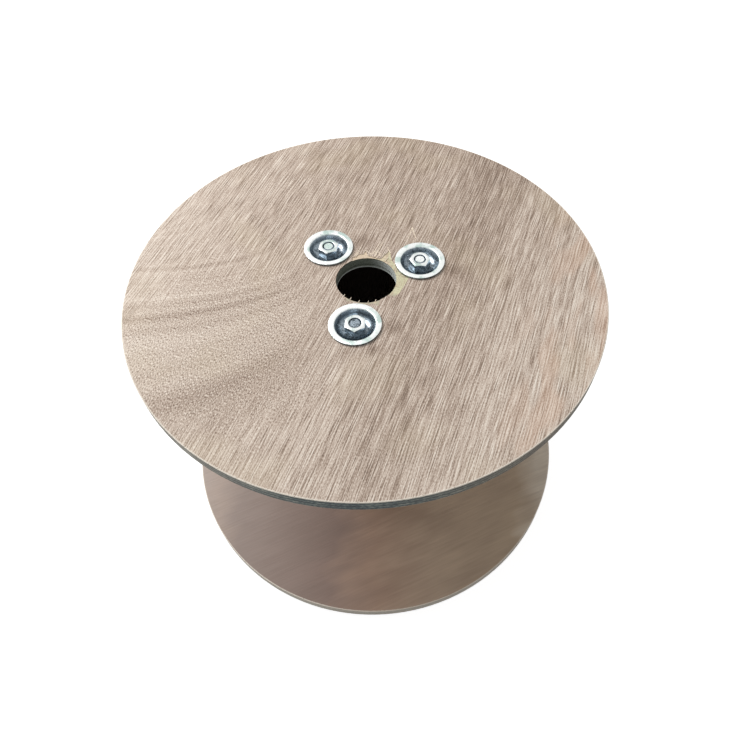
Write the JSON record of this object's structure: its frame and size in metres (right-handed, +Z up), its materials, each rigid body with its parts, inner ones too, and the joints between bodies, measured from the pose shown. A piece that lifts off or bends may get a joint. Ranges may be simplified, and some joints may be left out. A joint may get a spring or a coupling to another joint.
{
  "type": "cable drum",
  "caption": "Empty plywood cable drum: round flanges on a bent plywood barrel, held by long tie bolts with cup washers, with a central arbor hole.",
  "frame": {"origin": "on the drum's axis, level with the rims of the lower cup washers, which the drum stands on", "axes": "+Z up along the arbor hole, from the bolt heads to the nuts; the picture is taken from the -Y side"},
  "size_m": [0.3999, 0.4, 0.2774],
  "materials": {
    "plywood": "unfinished open-pored hardwood veneer",
    "bent_plywood": "unfinished bent plywood",
    "zinc_bolt": "bright zinc plated",
    "zinc_washer": "bright zinc plated, pressed"
  },
  "bodies": {
    "root": {"upper_flange": "plywood", "lower_flange": "plywood", "barrel": "bent_plywood", "tie_bolt_1": "zinc_bolt", "tie_bolt_2": "zinc_bolt", "tie_bolt_3": "zinc_bolt", "nut_1": "zinc_bolt", "nut_2": "zinc_bolt", "nut_3": "zinc_bolt", "upper_cup_washer_1": "zinc_washer", "upper_cup_washer_2": "zinc_washer", "upper_cup_washer_3": "zinc_washer", "lower_cup_washer_1": "zinc_washer", "lower_cup_washer_2": "zinc_washer", "lower_cup_washer_3": "zinc_washer"}
  },
  "joints": []
}
